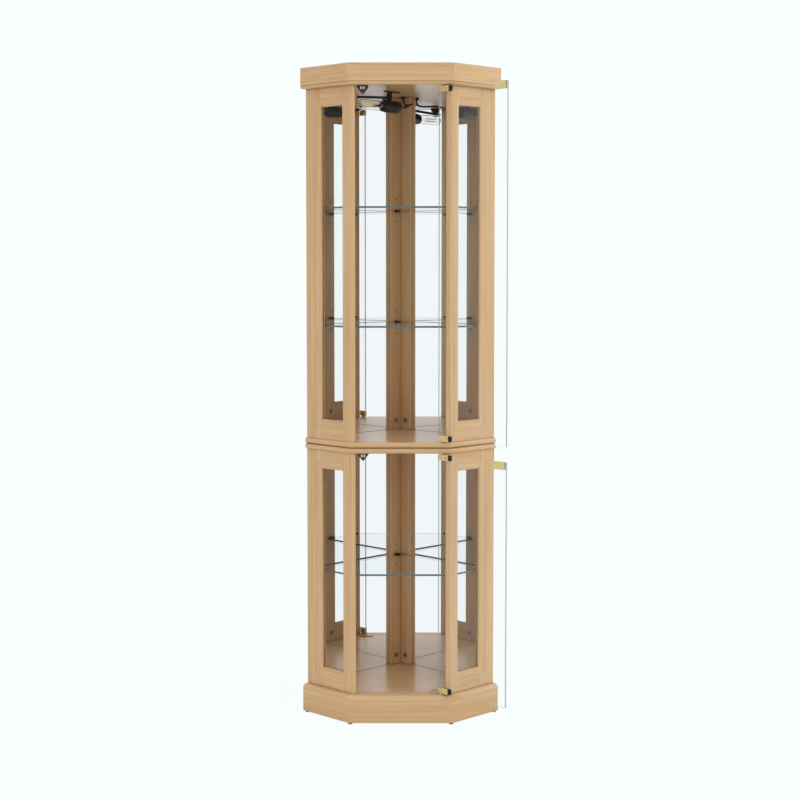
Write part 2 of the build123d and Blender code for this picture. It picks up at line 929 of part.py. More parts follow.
outlet_y = -outlet_back
outlet = Plane(origin=(outlet_x, outlet_y, ceiling_z), z_dir=(0, 0, -1))
with BuildPart() as cable_grommet:
    turned(outlet, [
        (0, grommet_radius),
        (grommet_height - grommet_bevel, grommet_radius),
        (grommet_height, grommet_radius - grommet_bevel),
    ])
save(cable_grommet, "cable_grommet")

# The lead leaves the socket along its axis, swings round and turns up into the grommet
lead_start = lamp_plane.from_local_coords(Vector(socket_end, 0, 0))
lead_points = [
    lead_start,
    lamp_plane.from_local_coords(Vector(socket_end + lead_straight, 0, 0)),
    Vector(outlet_x + 16, outlet_y - 86, ceiling_z - 33),
    Vector(outlet_x + 26, outlet_y - 59, ceiling_z - 26),
    Vector(outlet_x + 20, outlet_y - 31, ceiling_z - 27),
    Vector(outlet_x + 9.5, outlet_y - 12.5, ceiling_z - 26),
    Vector(outlet_x + 3.5, outlet_y - 4.5, ceiling_z - 22),
    Vector(outlet_x, outlet_y, ceiling_z - 14),
    Vector(outlet_x, outlet_y, ceiling_z - grommet_height),
]
lead_radii = []
for before, point, after in zip(lead_points, lead_points[1:], lead_points[2:]):
    turn = radians((point - before).get_angle(after - point))
    run = min((point - before).length, (after - point).length)
    lead_radii.append(bend_share * run / tan(turn / 2))
print("lead bend radii", [round(radius, 1) for radius in lead_radii])
with BuildPart() as lamp_lead:
    with BuildLine() as route:
        FilletPolyline(*lead_points, radius=lead_radii)
    with BuildSketch(Plane(origin=lead_start, z_dir=route.line % 0)) as section:
        RegularPolygon(lead_radius, lead_sides)
    sweep(section.sketch, path=route.line)
save(lamp_lead, "lamp_lead")


# Glides under the corners of the plinth

glide_offset = plinth_overhang - plinth_wall / 2
with BuildPart() as glides:
    with BuildSketch() as feet:
        with Locations(*plan_outline(-glide_offset, -glide_offset, plinth_rear_rail / 2)):
            RegularPolygon(glide_radius, turned_sides)
    extrude(feet.sketch, amount=glide_height)
save(glides, "glides")
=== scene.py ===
import json
from math import atan2, cos, pi, radians, sin, sqrt

import bmesh
import bpy
from mathutils import Matrix, Vector


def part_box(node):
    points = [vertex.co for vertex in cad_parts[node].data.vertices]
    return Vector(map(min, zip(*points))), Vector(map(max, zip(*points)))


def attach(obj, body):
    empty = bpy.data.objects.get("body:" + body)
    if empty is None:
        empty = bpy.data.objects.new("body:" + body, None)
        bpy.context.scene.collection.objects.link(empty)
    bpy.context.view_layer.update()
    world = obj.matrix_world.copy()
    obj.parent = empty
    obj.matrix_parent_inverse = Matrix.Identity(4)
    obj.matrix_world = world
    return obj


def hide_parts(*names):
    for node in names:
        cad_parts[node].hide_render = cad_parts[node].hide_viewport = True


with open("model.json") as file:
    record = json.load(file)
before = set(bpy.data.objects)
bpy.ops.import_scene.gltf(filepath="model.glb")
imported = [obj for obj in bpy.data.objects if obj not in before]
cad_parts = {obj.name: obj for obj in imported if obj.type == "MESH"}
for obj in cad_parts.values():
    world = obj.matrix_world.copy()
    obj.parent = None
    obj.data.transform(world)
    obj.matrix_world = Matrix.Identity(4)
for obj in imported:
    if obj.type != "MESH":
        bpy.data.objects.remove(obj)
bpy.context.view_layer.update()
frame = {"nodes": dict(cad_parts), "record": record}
nodes = frame["nodes"]
bpy.context.scene.view_settings.view_transform = "Standard"

# Corner display cabinet in light oak, with mirrored backs, glass shelves and glass doors.
# Metres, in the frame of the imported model: +X right, +Y towards the room's corner, +Z up.


# Camera: far back on the cabinet's own axis, tilted down a little

LENS = 74.87
SENSOR_WIDTH = 36.0
TILT = radians(3.881)
LENS_SHIFT = -0.035
EYE_HEIGHT = 1.2752
EYE_DISTANCE = 4.5106
EYE_SIDE = -0.0019

front_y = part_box("upper_front_stile_right")[0].y


def add_camera():
    """The photograph's angle of view, from a tilt and a small lens shift"""
    data = bpy.data.cameras.new("camera")
    camera = bpy.data.objects.new("camera", data)
    bpy.context.scene.collection.objects.link(camera)
    camera.location = (EYE_SIDE, front_y - EYE_DISTANCE, EYE_HEIGHT)
    camera.rotation_euler = (pi / 2 - TILT, 0, 0)
    data.sensor_width = SENSOR_WIDTH
    data.lens = LENS
    data.shift_y = LENS_SHIFT
    data.clip_end = 50
    bpy.context.scene.camera = camera


# Node trees

class Tree:
    """A material's or world's node tree, built by short calls"""

    def __init__(self, owner):
        owner.use_nodes = True
        self.tree = owner.node_tree
        self.tree.nodes.clear()

    def add(self, kind, settings=None, **inputs):
        """Add a node; inputs are values or other nodes' outputs, by socket name or number"""
        node = self.tree.nodes.new(kind)
        for name, value in (settings or {}).items():
            setattr(node, name, value)
        for name, value in inputs.items():
            socket = node.inputs[int(name[1:]) if name[1:].isdigit() else name.replace("_", " ")]
            if isinstance(value, bpy.types.NodeSocket):
                self.tree.links.new(value, socket)
            else:
                socket.default_value = value
        return node

    def math(self, operation, first, second=0.5, clamp=False):
        """A math node's output"""
        node = self.add("ShaderNodeMath", {"operation": operation, "use_clamp": clamp},
                        i0=first, i1=second)
        return node.outputs[0]

    def scaled(self, value, factor, offset):
        """A value times a factor, plus an offset"""
        node = self.add("ShaderNodeMath", {"operation": "MULTIPLY_ADD"}, i0=value, i1=factor,
                        i2=offset)
        return node.outputs[0]

    def dot(self, vector, way):
        """How far a vector points a given way"""
        node = self.add("ShaderNodeVectorMath", {"operation": "DOT_PRODUCT"}, i0=vector, i1=way)
        return node.outputs["Value"]

    def mix_colour(self, factor, first, second):
        """A colour between two others"""
        node = self.add("ShaderNodeMix", {"data_type": "RGBA"}, i0=factor, i6=first, i7=second)
        return node.outputs[2]

    def mix_value(self, factor, first, second):
        """A value between two others"""
        node = self.add("ShaderNodeMix", {"data_type": "FLOAT"}, i0=factor, i2=first, i3=second)
        return node.outputs[0]

    def mix_shader(self, factor, first, second):
        """A surface between two others"""
        return self.add("ShaderNodeMixShader", i0=factor, i1=first, i2=second).outputs[0]

    def ramp(self, factor, *stops):
        """A colour ramp's output; each stop is a place and a colour"""
        node = self.add("ShaderNodeValToRGB", Fac=factor)
        elements = node.color_ramp.elements
        while len(elements) < len(stops):
            elements.new(0.5)
        for element, (place, colour) in zip(elements, stops):
            element.position = place
            element.color = colour
        return node.outputs[0]

    def noise(self, vector, scale=1.0, detail=2.0, roughness=0.5):
        """A noise texture's value"""
        node = self.add("ShaderNodeTexNoise", Vector=vector, Scale=scale, Detail=detail,
                        Roughness=roughness)
        return node.outputs[0]

    def place(self, turn=(0, 0, 0), stretch=(1, 1, 1), shift=(0, 0, 0)):
        """Object coordinates, moved, turned and stretched"""
        source = self.add("ShaderNodeTexCoord").outputs["Object"]
        turned = self.add("ShaderNodeVectorRotate", {"rotation_type": "EULER_XYZ"},
                          Vector=source, Rotation=turn)
        mapped = self.add("ShaderNodeMapping", Vector=turned.outputs[0], Scale=stretch,
                          Location=shift)
        return mapped.outputs[0]

    def span(self, value, start, end, low, high):
        """A value carried from one range to another, smoothly and held at the ends"""
        node = self.add("ShaderNodeMapRange", {"interpolation_type": "SMOOTHSTEP"}, Value=value,
                        From_Min=start, From_Max=end, To_Min=low, To_Max=high)
        return node.outputs[0]

    def finish(self, surface, volume=None, output="ShaderNodeOutputMaterial"):
        """Connect the output"""
        node = self.add(output)
        self.tree.links.new(surface, node.inputs["Surface"])
        if volume is not None:
            self.tree.links.new(volume, node.inputs["Volume"])


def colour(red, green, blue):
    """A screen colour, 0 to 255, as linear light"""
    parts = [value / 255 for value in (red, green, blue)]
    linear = [p / 12.92 if p <= 0.04045 else ((p + 0.055) / 1.055) ** 2.4 for p in parts]
    return (*linear, 1)


def shaded(base, factor):
    """A linear colour made darker or lighter"""
    return (base[0] * factor, base[1] * factor, base[2] * factor, 1)


BACKGROUND = colour(249, 255, 255)


# Materials. Grain and streaks are noise that is stretched along the board; a stretch is in
# cycles per metre.

OAK_LIGHT = colour(223, 186, 143)
OAK_MIDDLE = colour(212, 171, 126)
OAK_DARK = colour(190, 144, 96)
# Painted shade in grooves and joints between parts: oak is darkened towards this colour within this
# reach
OAK_CREASE_SHADE = colour(126, 82, 48)
CREASE_SHADE_REACH = 0.006
GRAIN_BANDS = (1.1, 26, 26)
GRAIN_FIGURE = (3.0, 150, 150)
GRAIN_PORES = (14, 900, 900)
PORE_DEPTH = 0.0004


def oak(name, turn, gloss=0.45, sheen=0.45, coat=0.10, coat_rough=0.08, contrast=1.0, seed=0.0):
    """Lacquered light oak whose grain runs along X before the turn is undone"""
    material = bpy.data.materials.new(name)
    t = Tree(material)
    shift = (seed, 0.37 * seed, 0.71 * seed)
    bands = t.noise(t.place(turn, GRAIN_BANDS, shift), detail=3.0, roughness=0.55)
    figure = t.noise(t.place(turn, GRAIN_FIGURE, shift), detail=4.0, roughness=0.65)
    pores = t.noise(t.place(turn, GRAIN_PORES, shift), roughness=0.6)
    flecks = t.ramp(pores, (0.30, (0, 0, 0, 1)), (0.46, (1, 1, 1, 1)))
    light, dark = [tuple(m + contrast * (c - m) for m, c in zip(OAK_MIDDLE, tone))
                   for tone in (OAK_LIGHT, OAK_DARK)]
    wide = t.ramp(bands, (0.30, dark), (0.50, OAK_MIDDLE), (0.72, light))
    fine = t.ramp(figure, (0.30, dark), (0.55, OAK_MIDDLE), (0.75, light))
    blend = t.mix_colour(0.55, wide, fine)
    pored = t.mix_colour(t.math("MULTIPLY", t.math("SUBTRACT", 1.0, flecks), 0.28), blend, dark)
    # Painted shade: where ambient occlusion finds a point closed in, the base colour is darkened
    # towards the dark oak colour above
    openness = t.add("ShaderNodeAmbientOcclusion", {"samples": 6}, Distance=CREASE_SHADE_REACH)
    crease_shade = t.span(openness.outputs["AO"], 0.45, 0.95, 0.5, 0.0)
    bump = t.add("ShaderNodeBump", Strength=0.12, Distance=PORE_DEPTH, Height=pores)
    shader = t.add("ShaderNodeBsdfPrincipled", Base_Color=t.mix_colour(crease_shade, pored, OAK_CREASE_SHADE),
                   Roughness=t.scaled(figure, 0.12, gloss), Normal=bump.outputs[0])
    shader.inputs["Specular IOR Level"].default_value = sheen
    shader.inputs["Coat Weight"].default_value = coat
    shader.inputs["Coat Roughness"].default_value = coat_rough
    t.finish(shader.outputs[0])
    return material


EDGE_LIMIT = 0.7
POLISHED_LIT_LIMIT = 0.5


def ground_edge(t, facing, tint, polished_lit_edge=None):
    """A sheet's ground edges, with one finely finished edge painted paler where its way and its
    tint are given, standing in for the light it carries from the bright surroundings
    """
    tone = tint[:3]
    if polished_lit_edge:
        way, paler = polished_lit_edge
        # Painted light: the one edge's paler tint stands in for the light it carries from the
        # bright surroundings
        there = t.math("GREATER_THAN", t.dot(facing, way), POLISHED_LIT_LIMIT)
        tone = t.mix_colour(there, tint, paler)
    streaks = t.noise(t.place(stretch=(40, 40, 40)), detail=3.0, roughness=0.6)
    ground = t.add("ShaderNodeVectorMath", {"operation": "SCALE"}, i0=tone,
                   Scale=t.scaled(streaks, 0.3, 0.95))
    edge = t.add("ShaderNodeBsdfPrincipled", Base_Color=ground.outputs[0])
    edge.inputs["Roughness"].default_value = 0.25
    return edge.outputs[0]


def clear_glass(name, ior, sheet_normal=None, edge_tint=None, polished_lit_edge=None, tint=None,
                density=0):
    """Float glass that lets lamplight through, with ground edges where a sheet's normal is given"""
    material = bpy.data.materials.new(name)
    t = Tree(material)
    smear = t.noise(t.place(stretch=(6, 6, 3)))
    shader = t.add("ShaderNodeBsdfPrincipled", Base_Color=(0.985, 0.995, 0.992, 1),
                   Roughness=t.math("MULTIPLY", smear, 0.006))
    shader.inputs["IOR"].default_value = ior
    shader.inputs["Transmission Weight"].default_value = 1.0
    through = t.add("ShaderNodeBsdfTransparent", Color=(0.95, 0.965, 0.96, 1))
    rays = t.add("ShaderNodeLightPath").outputs
    passes = t.math("MAXIMUM", rays["Is Shadow Ray"], rays["Is Diffuse Ray"])
    surface = t.mix_shader(passes, shader.outputs[0], through.outputs[0])
    if sheet_normal:
        facing = t.add("ShaderNodeTexCoord").outputs["Normal"]
        on_edge = t.math("LESS_THAN", t.math("ABSOLUTE", t.dot(facing, sheet_normal)), EDGE_LIMIT)
        surface = t.mix_shader(on_edge, surface, ground_edge(t, facing, edge_tint, polished_lit_edge))
    volume = None
    if density:
        volume = t.add("ShaderNodeVolumeAbsorption", Color=tint, Density=density).outputs[0]
    t.finish(surface, volume)
    return material


def metal(name, base, rough, metallic=1.0):
    """Plated metal with faint brush marks"""
    material = bpy.data.materials.new(name)
    t = Tree(material)
    lines = t.noise(t.place(stretch=(60, 2500, 2500)), roughness=0.6)
    tone = t.mix_colour(t.math("MULTIPLY", lines, 0.25), base, shaded(base, 0.7))
    shader = t.add("ShaderNodeBsdfPrincipled", Base_Color=tone,
                   Roughness=t.scaled(lines, 0.08, rough))
    shader.inputs["Metallic"].default_value = metallic
    t.finish(shader.outputs[0])
    return material


def plastic(name, base, rough):
    """Moulded plastic with a fine texture"""
    material = bpy.data.materials.new(name)
    t = Tree(material)
    speckle = t.noise(t.place(), 1400.0, roughness=0.6)
    tone = t.mix_colour(t.math("MULTIPLY", speckle, 0.3), base, shaded(base, 1.25))
    bump = t.add("ShaderNodeBump", Strength=0.05, Distance=0.0002, Height=speckle)
    shader = t.add("ShaderNodeBsdfPrincipled", Base_Color=tone,
                   Roughness=t.scaled(speckle, 0.1, rough), Normal=bump.outputs[0])
    t.finish(shader.outputs[0])
    return material


BOW_REACH = (0.13, 0.18)
BOW_TURN = radians(0.25)


def mirror_silver(name, side):
    """A silvered back panel, held at its ends and bowed a hair between them"""
    material = bpy.data.materials.new(name)
    t = Tree(material)
    haze = t.noise(t.place(stretch=(9, 9, 4)))
    tint = t.mix_colour(haze, (0.958, 0.958, 0.970, 1), (0.968, 0.968, 0.980, 1))
    place = t.add("ShaderNodeTexCoord").outputs["Object"]
    across = t.math("ABSOLUTE", t.add("ShaderNodeSeparateXYZ", Vector=place).outputs["X"])
    turn = t.span(across, *BOW_REACH, -side * BOW_TURN, side * BOW_TURN)
    facing = t.add("ShaderNodeNewGeometry").outputs["Normal"]
    bowed = t.add("ShaderNodeVectorRotate", {"rotation_type": "Z_AXIS"}, Vector=facing, Angle=turn)
    shader = t.add("ShaderNodeBsdfPrincipled", Base_Color=tint, Normal=bowed.outputs[0])
    shader.inputs["Metallic"].default_value = 1.0
    shader.inputs["Roughness"].default_value = 0.0
    t.finish(shader.outputs[0])
    return material


def fibreboard():
    """Brown board behind the mirrors, with short pressed fibres"""
    material = bpy.data.materials.new("fibreboard")
    t = Tree(material)
    clumps = t.noise(t.place(), 90.0, detail=5.0, roughness=0.65)
    fibres = t.noise(t.place(), 900.0, detail=3.0, roughness=0.7)
    mixed = t.math("ADD", t.math("MULTIPLY", clumps, 0.55), t.math("MULTIPLY", fibres, 0.45))
    tone = t.ramp(mixed, (0.32, colour(92, 66, 44)), (0.52, colour(128, 97, 68)),
                  (0.72, colour(156, 124, 92)))
    bump = t.add("ShaderNodeBump", Strength=0.25, Distance=0.0005, Height=fibres)
    shader = t.add("ShaderNodeBsdfPrincipled", Base_Color=tone, Normal=bump.outputs[0])
    shader.inputs["Roughness"].default_value = 0.75
    t.finish(shader.outputs[0])
    return material


def filament_yellow():
    """Yellow phosphor on the lamp's filaments, with a faint glow"""
    material = bpy.data.materials.new("filament")
    t = Tree(material)
    grains = t.noise(t.place(), 2500.0)
    tone = t.mix_colour(grains, colour(240, 184, 60), colour(255, 222, 116))
    shader = t.add("ShaderNodeBsdfPrincipled", Base_Color=tone, Emission_Color=tone)
    shader.inputs["Emission Strength"].default_value = 0.25
    shader.inputs["Roughness"].default_value = 0.6
    t.finish(shader.outputs[0])
    return material


ALONG_X = (0, 0, 0)
ALONG_Z = (0, pi / 2, 0)
ALONG_RIGHT_FACET = (0, 0, -pi / 4)
ALONG_LEFT_FACET = (0, 0, pi / 4)
SHELF_NORMAL = (0, 0, 1)
DOOR_TURN = radians(-44.5)
DOOR_NORMAL = (-sin(DOOR_TURN), cos(DOOR_TURN), 0)
HINGE_EDGE_NORMAL = (-cos(DOOR_TURN), -sin(DOOR_TURN), 0)

oak_upright = oak("oak_upright", ALONG_Z, seed=1.3)
oak_level = oak("oak_level", ALONG_X, seed=2.1)
oak_right = oak("oak_right", ALONG_RIGHT_FACET, seed=3.7)
oak_left = oak("oak_left", ALONG_LEFT_FACET, seed=4.9)
oak_board = oak("oak_board", ALONG_X, gloss=0.24, sheen=0.35, coat=0.20, coat_rough=0.16,
                contrast=0.6, seed=5.3)
shelf_glass = clear_glass("shelf_glass", 1.45, SHELF_NORMAL, colour(88, 99, 101),
                          tint=(0.45, 0.52, 0.53, 1), density=8.0)
# The door's hinge edge is painted paler: painted light for the bright surroundings it shows
door_glass = clear_glass("door_glass", 1.28, DOOR_NORMAL, colour(160, 166, 168),
                         polished_lit_edge=(HINGE_EDGE_NORMAL, colour(232, 238, 238)),
                         tint=(0.70, 0.76, 0.76, 1), density=1.2)
pane_glass = clear_glass("pane_glass", 1.13)
bulb_glass = clear_glass("bulb_glass", 1.45)
mirror_left = mirror_silver("mirror_left", -1)
mirror_right = mirror_silver("mirror_right", 1)
back_board = fibreboard()
brass = metal("brass", colour(234, 213, 150), 0.24, metallic=0.4)
# Painted shade: a darker, rougher copy of the brass for the pivot plate, so that it looks less
# strongly lit
shaded_plate_brass = metal("shaded_plate_brass", colour(176, 160, 104), 0.32, metallic=0.6)
zinc = metal("zinc", colour(150, 152, 150), 0.42)
steel = metal("steel", colour(205, 205, 205), 0.28)
black_plastic = plastic("black_plastic", colour(24, 24, 26), 0.34)
black_rubber = plastic("black_rubber", colour(22, 22, 22), 0.6)
brown_plastic = plastic("brown_plastic", colour(66, 38, 32), 0.3)
pale_plastic = plastic("pale_plastic", colour(214, 212, 204), 0.45)
filament = filament_yellow()


def material_of(name):
    """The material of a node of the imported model"""
    if name.endswith(("stile_left", "stile_right", "corner_post")) or name == "pane_beads":
        return oak_upright
    if name in ("lower_floor", "upper_floor", "ceiling", "lower_top"):
        return oak_board
    if name.endswith("_rails_right") or name in ("crown_right", "plinth_right"):
        return oak_right
    if name.endswith("_rails_left") or name in ("crown_left", "plinth_left"):
        return oak_left
    if "_shelf_" in name:
        return shelf_glass
    if name.endswith("_mirror_left"):
        return mirror_left
    if name.endswith("_door_glass"):
        return door_glass
    # The pivot plate takes the darker copy of the brass: painted shade
    if name == "pivot_plate":
        return shaded_plate_brass
    slots = {
        "oak": oak_level, "clear_glass": pane_glass, "bulb_glass": bulb_glass,
        "mirror": mirror_right, "fibreboard": back_board, "brass": brass, "zinc": zinc,
        "black_plastic": black_plastic, "black_rubber": black_rubber,
        "brown_plastic": brown_plastic, "pale_plastic": pale_plastic,
    }
    return slots[slot_names[name]]


slot_names = {part["node"]: part["material_slot"] for part in frame["record"]["subparts"]}
for name, node in nodes.items():
    node.data.materials.clear()
    node.data.materials.append(material_of(name))


# World, lamps and floor

LIGHT_FROM_BELOW = 0.44
LIGHT_FROM_ABOVE = 1.15
SHINE_FROM_LEFT = 0.7
SHINE_FROM_RIGHT = 1.6
SIDE_WAYS = (0.5, 0.85)
LAMP_SIZE = 2.6
LAMP_TARGET = (0, front_y, 0.9)
KEY_PLACE = (3.6, front_y - 1.6, 3.1)
KEY_POWER = 52
FILL_PLACE = (-3.4, front_y - 1.6, 1.6)
FILL_POWER = 14
FLOOR_HALF = 14
FLOOR_WHITENESS = 0.96
SHADOW_REACH = (0.6, 1.8)
SIDE_FLOOR = (0.8, 2.4)


def surroundings():
    """White studio surroundings, less bright as light than as background, and uneven as shine"""
    world = bpy.data.worlds.new("surroundings")
    bpy.context.scene.world = world
    t = Tree(world)
    way = t.add("ShaderNodeTexCoord").outputs["Generated"]
    parts = t.add("ShaderNodeSeparateXYZ", Vector=way).outputs
    light = t.span(parts["Z"], -0.3, 1.0, LIGHT_FROM_BELOW, LIGHT_FROM_ABOVE)
    leftwards = t.math("MULTIPLY", parts["X"], -1.0)
    left = t.span(leftwards, *SIDE_WAYS, 0.0, SHINE_FROM_LEFT - 1)
    right = t.span(parts["X"], *SIDE_WAYS, 1.0, SHINE_FROM_RIGHT)
    rays = t.add("ShaderNodeLightPath").outputs
    shown = t.math("MAXIMUM", rays["Is Camera Ray"], rays["Is Transmission Ray"])
    indirect = t.mix_value(rays["Is Glossy Ray"], light, t.math("ADD", left, right))
    background = t.add("ShaderNodeBackground", Color=BACKGROUND,
                       Strength=t.mix_value(shown, indirect, 1.0))
    t.finish(background.outputs[0], output="ShaderNodeOutputWorld")


def lamp(name, place, power):
    """A soft square lamp that mirrors and glass don't show"""
    data = bpy.data.lights.new(name, "AREA")
    data.size = LAMP_SIZE
    data.energy = power
    light = bpy.data.objects.new(name, data)
    bpy.context.scene.collection.objects.link(light)
    light.location = place
    way = Vector(LAMP_TARGET) - Vector(place)
    light.rotation_euler = way.to_track_quat("-Z", "Y").to_euler()
    light.visible_camera = False
    light.visible_glossy = False
    light.visible_transmission = False


def floor_sheet():
    """A pale floor that shows as the background and keeps a soft shadow"""
    mesh = bpy.data.meshes.new("floor")
    half = FLOOR_HALF
    corners = [(-half, -half, 0), (half, -half, 0), (half, half, 0), (-half, half, 0)]
    mesh.from_pydata(corners, [], [(0, 1, 2, 3)])
    floor = bpy.data.objects.new("floor", mesh)
    bpy.context.scene.collection.objects.link(floor)
    material = bpy.data.materials.new("floor")
    t = Tree(material)
    rays = t.add("ShaderNodeLightPath").outputs
    seen = t.math("MAXIMUM", rays["Is Camera Ray"], rays["Is Glossy Ray"])
    shown = t.math("MAXIMUM", seen, rays["Is Transmission Ray"])
    mirrored = t.math("SUBTRACT", rays["Is Glossy Ray"], rays["Is Transmission Ray"], clamp=True)
    place = t.add("ShaderNodeTexCoord").outputs["Object"]
    reach = t.add("ShaderNodeVectorMath", {"operation": "LENGTH"}, i0=place).outputs["Value"]
    share = t.math("MULTIPLY", shown, t.span(reach, *SHADOW_REACH, FLOOR_WHITENESS, 1.0))
    along_x = t.add("ShaderNodeSeparateXYZ", Vector=place).outputs["X"]
    shine = t.span(t.math("MULTIPLY", along_x, -1.0), *SIDE_FLOOR, 1.0, SHINE_FROM_LEFT)
    matt = t.add("ShaderNodeBsdfDiffuse", Color=(0.80, 0.81, 0.81, 1))
    white = t.add("ShaderNodeEmission", Color=BACKGROUND,
                  Strength=t.mix_value(mirrored, 1.0, shine))
    t.finish(t.mix_shader(share, matt.outputs[0], white.outputs[0]))
    mesh.materials.append(material)


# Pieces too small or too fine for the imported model

def add_piece(name, mesh, material, body, smooth=True):
    """Put a finished mesh in the scene and let it ride on a body"""
    piece = bpy.data.objects.new(name, mesh)
    bpy.context.scene.collection.objects.link(piece)
    if not mesh.materials:
        mesh.materials.append(material)
    for face in mesh.polygons:
        face.use_smooth = smooth
    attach(piece, body)
    return piece


ON_AXIS = 1e-6


def lathe(name, profile, place, sides):
    """Turn a profile of (along, radius) pairs about the local Z axis, then place it"""
    shape = bmesh.new()
    rings = []
    for along, radius in profile:
        if radius < ON_AXIS:
            rings.append([shape.verts.new((0, 0, along))])
            continue
        ring = [
            shape.verts.new((radius * cos(2 * pi * i / sides), radius * sin(2 * pi * i / sides),
                             along))
            for i in range(sides)
        ]
        rings.append(ring)
    for low, high in zip(rings, rings[1:]):
        for i in range(sides):
            j = (i + 1) % sides
            corners = [low[i % len(low)], low[j % len(low)], high[j % len(high)],
                       high[i % len(high)]]
            unique = list(dict.fromkeys(corners))
            if len(unique) > 2:
                shape.faces.new(unique)
    bmesh.ops.recalc_face_normals(shape, faces=shape.faces)
    shape.transform(place)
    mesh = bpy.data.meshes.new(name)
    shape.to_mesh(mesh)
    shape.free()
    return mesh


def join_meshes(name, meshes):
    """One mesh from several"""
    shape = bmesh.new()
    for mesh in meshes:
        shape.from_mesh(mesh)
    joined = bpy.data.meshes.new(name)
    shape.to_mesh(joined)
    shape.free()
    return joined


# Lamp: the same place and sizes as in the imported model

ceiling_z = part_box("ceiling")[0].z
LAMP_DROP = 0.0425
LAMP_TIP = (-0.116, 0.091)
BULB_RADIUS = 0.0145
BULB_LENGTH = 0.092
BULB_NECK = 0.009
BULB_SHOULDER = 0.020
BULB_SEAT = 0.014
BULB_WALL = 0.0008
SOCKET_END = 0.156
lamp_tip = Vector((LAMP_TIP[0], front_y + LAMP_TIP[1], ceiling_z - LAMP_DROP))
lamp_way = Vector((1, 1, 0)).normalized()
lamp_place = Matrix.Translation(lamp_tip) @ lamp_way.to_track_quat("Z", "Y").to_matrix().to_4x4()


def bulb_outline(inset):
    """The bulb's outline from its tip to its neck, moved inwards"""
    radius = BULB_RADIUS - inset
    dome = [(BULB_RADIUS - radius * cos(a * pi / 24), radius * sin(a * pi / 24))
            for a in range(13)]
    start = BULB_LENGTH - BULB_SHOULDER
    neck = BULB_NECK - inset
    shoulder = [(start + BULB_SHOULDER * k / 8, neck + (radius - neck) * (1 + cos(pi * k / 8)) / 2)
                for k in range(9)]
    return dome + shoulder + [(BULB_LENGTH + BULB_SEAT, neck)]


SOCKET_RADIUS = 0.017
SOCKET_STEP = 0.002
SOCKET_COLLAR = 0.010
SOCKET_DOME = 0.005
SOCKET_MOUTH = 0.0093
SOCKET_LIP = 0.002
SOCKET_ARRIS = 0.0006


def make_socket():
    """The lamp's smooth round socket: a collar, a step and a domed end"""
    collar = SOCKET_RADIUS - SOCKET_STEP
    start = BULB_LENGTH
    dome = [(SOCKET_END - SOCKET_DOME * (1 - sin(a * pi / 12)),
             SOCKET_RADIUS - SOCKET_DOME * (1 - cos(a * pi / 12))) for a in range(7)]
    profile = [(start + SOCKET_LIP, SOCKET_MOUTH), (start, SOCKET_MOUTH),
               (start, collar - SOCKET_ARRIS), (start + SOCKET_ARRIS, collar),
               (start + SOCKET_COLLAR, collar),
               (start + SOCKET_COLLAR + SOCKET_STEP, SOCKET_RADIUS), *dome, (SOCKET_END, 0)]
    socket = add_piece("socket", lathe("socket", profile, lamp_place, 64), black_plastic,
                       "cabinet")
    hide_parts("lamp_socket")


STEM_OUTLINE = [(0.058, 0), (0.058, 0.0016), (0.070, 0.0018), (0.084, 0.0052), (0.100, 0.0072),
                (0.100, 0)]
FILAMENTS = 4
FILAMENT_OFFSET = 0.0052
FILAMENT_REACH = (0.020, 0.056)
FILAMENT_RADIUS = 0.0013
WIRE_REACH = (0.012, 0.066)
WIRE_RADIUS = 0.0003


def rod_outline(reach, radius):
    """A straight rod's outline between two places along the bulb"""
    start, end = reach
    return [(start, 0), (start, radius), (end, radius), (end, 0)]


def make_bulb():
    """A clear tubular bulb with four filaments on a glass stem"""
    outline = bulb_outline(0) + list(reversed(bulb_outline(BULB_WALL)))
    bulb = add_piece("bulb", lathe("bulb", outline, lamp_place, 56), bulb_glass, "cabinet")
    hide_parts("lamp_bulb")
    stem = lathe("bulb_stem", STEM_OUTLINE, lamp_place, 24)
    add_piece("bulb_stem", stem, bulb_glass, "cabinet")
    rods = []
    wires = []
    for number in range(FILAMENTS):
        turn = Matrix.Rotation((number + 0.5) * 2 * pi / FILAMENTS, 4, "Z")
        place = lamp_place @ Matrix.Translation(turn @ Vector((FILAMENT_OFFSET, 0, 0)))
        rods.append(lathe("rod", rod_outline(FILAMENT_REACH, FILAMENT_RADIUS), place, 12))
        wires.append(lathe("wire", rod_outline(WIRE_REACH, WIRE_RADIUS), place, 8))
    add_piece("filaments", join_meshes("filaments", rods), filament, "cabinet")
    add_piece("filament_wires", join_meshes("filament_wires", wires), steel, "cabinet")


# Lead from the socket to the grommet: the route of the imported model

LEAD_ROUTE = [
    (0.024, 0.244, -0.033),
    (0.034, 0.271, -0.026),
    (0.028, 0.299, -0.027),
    (0.0175, 0.3175, -0.026),
    (0.0115, 0.3255, -0.022),
    (0.008, 0.330, -0.014),
    (0.008, 0.330, -0.006),
]
LEAD_RADIUS = 0.0025
LEAD_STRAIGHT = 0.022


def make_lead():
    """The lamp's short black lead as one smooth curve"""
    start = lamp_tip + lamp_way * SOCKET_END
    points = [start, start + lamp_way * LEAD_STRAIGHT]
    points += [Vector((x, front_y + y, ceiling_z + z)) for x, y, z in LEAD_ROUTE]
    data = bpy.data.curves.new("lamp_cable", "CURVE")
    data.dimensions = "3D"
    data.bevel_depth = LEAD_RADIUS
    data.bevel_resolution = 5
    data.resolution_u = 16
    data.use_fill_caps = True
    spline = data.splines.new("NURBS")
    spline.points.add(len(points) - 1)
    for control, place in zip(spline.points, points):
        control.co = (*place, 1)
    spline.order_u = 3
    spline.use_endpoint_u = True
    data.materials.append(black_rubber)
    cable = bpy.data.objects.new("lamp_cable", data)
    bpy.context.scene.collection.objects.link(cable)
    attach(cable, "cabinet")
    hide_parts("lamp_lead")


